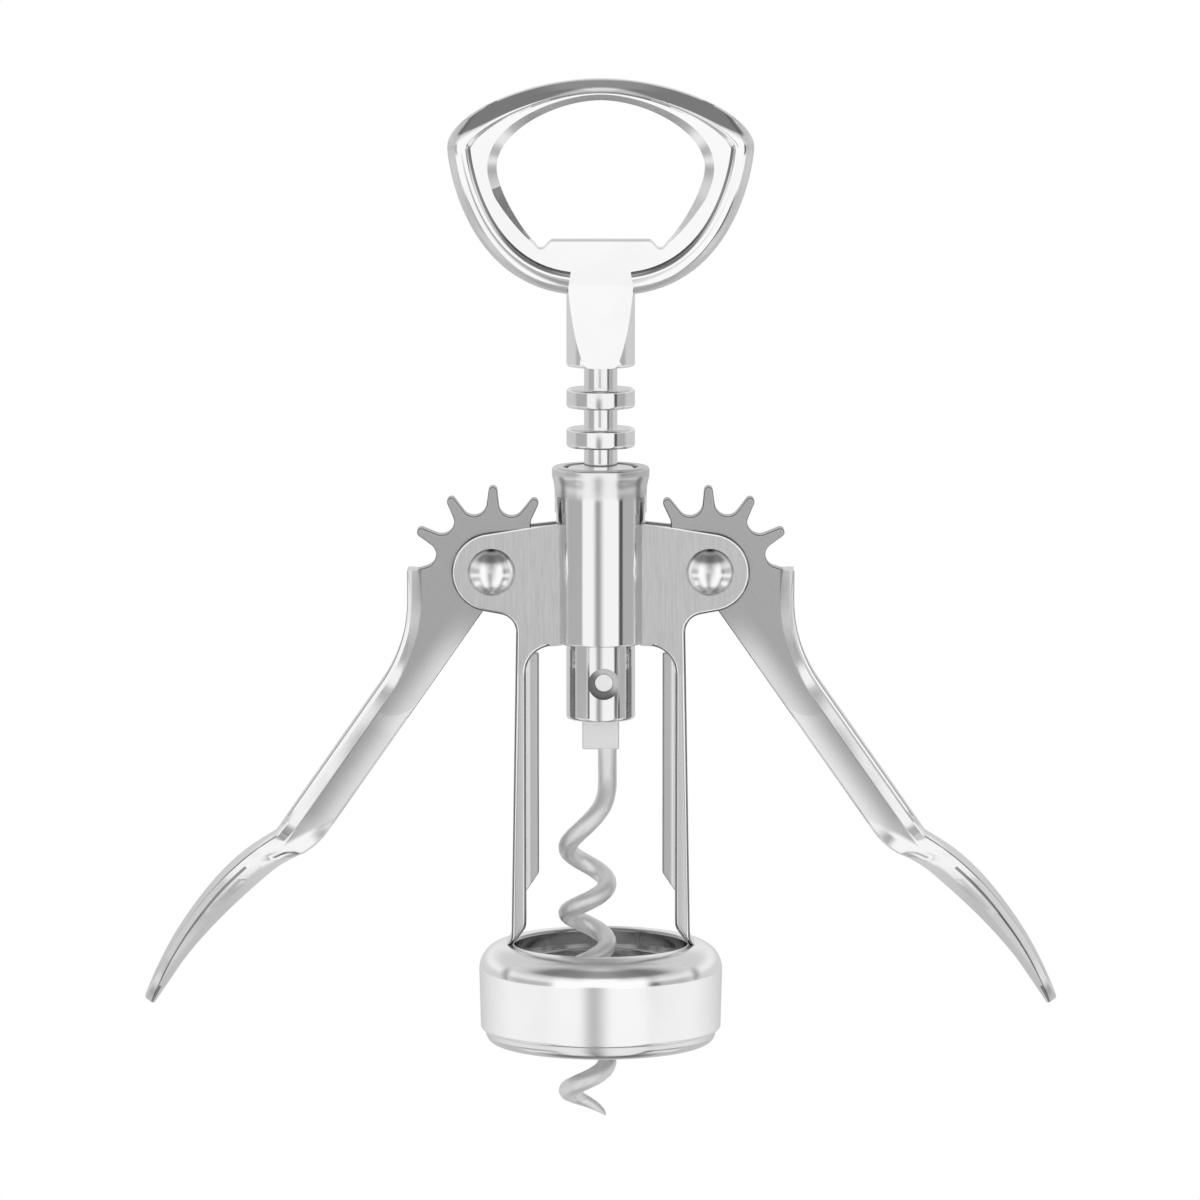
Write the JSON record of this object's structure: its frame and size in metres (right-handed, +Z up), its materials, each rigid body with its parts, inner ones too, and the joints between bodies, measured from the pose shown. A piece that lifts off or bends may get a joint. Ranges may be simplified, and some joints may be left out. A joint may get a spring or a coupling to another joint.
{
  "type": "lever corkscrew",
  "caption": "Lever corkscrew: geared levers lift a ringed rack through a guide tube above a ring-shaped bell, with a looped handle and a helical worm below.",
  "frame": {"origin": "on the corkscrew's axis, in the plane of the bell's mouth, where the bottle's neck enters", "axes": "+Z up the axis towards the handle, -Y towards the front, the levers swing in the X-Z plane"},
  "size_m": [0.1516, 0.0404, 0.1731],
  "materials": {
    "frame": "polished",
    "liner": "satin",
    "rivet": "polished",
    "lever": "satin",
    "rack": "polished",
    "spindle": "polished",
    "handle": "polished",
    "pin": "satin",
    "worm": "satin"
  },
  "bodies": {
    "frame": {"frame": "frame", "bell_liner": "liner", "rivet_left": "rivet", "rivet_right": "rivet"},
    "lever_left": {"lever_left": "lever"},
    "lever_right": {"lever_right": "lever"},
    "rack": {"rack": "rack"},
    "screw": {"spindle": "spindle", "handle": "handle", "worm_pin": "pin", "worm": "worm"}
  },
  "joints": [
    {"name": "rack_slide", "type": "slide", "parent": "frame", "child": "rack", "axis": [0, 0, 1], "range_m": [-0.0257, 0.0073]},
    {"name": "lever_left_pivot", "type": "hinge", "parent": "frame", "child": "lever_left", "pos_m": [-0.01802, 0, 0.0789], "axis": [0, 1, 0], "range_deg": [-34.8, 122]},
    {"name": "lever_right_pivot", "type": "hinge", "parent": "frame", "child": "lever_right", "pos_m": [0.01802, 0, 0.0789], "axis": [0, 1, 0], "range_deg": [-122, 34.8]},
    {"name": "handle_turn", "type": "hinge", "parent": "rack", "child": "screw", "pos_m": [0, 0, 0.1], "axis": [0, 0, 1], "continuous": true}
  ],
  "couplings": [
    {"joint": "lever_left_pivot", "follows": "rack_slide", "rad_per_m": -82.73},
    {"joint": "lever_right_pivot", "follows": "rack_slide", "rad_per_m": 82.73}
  ]
}
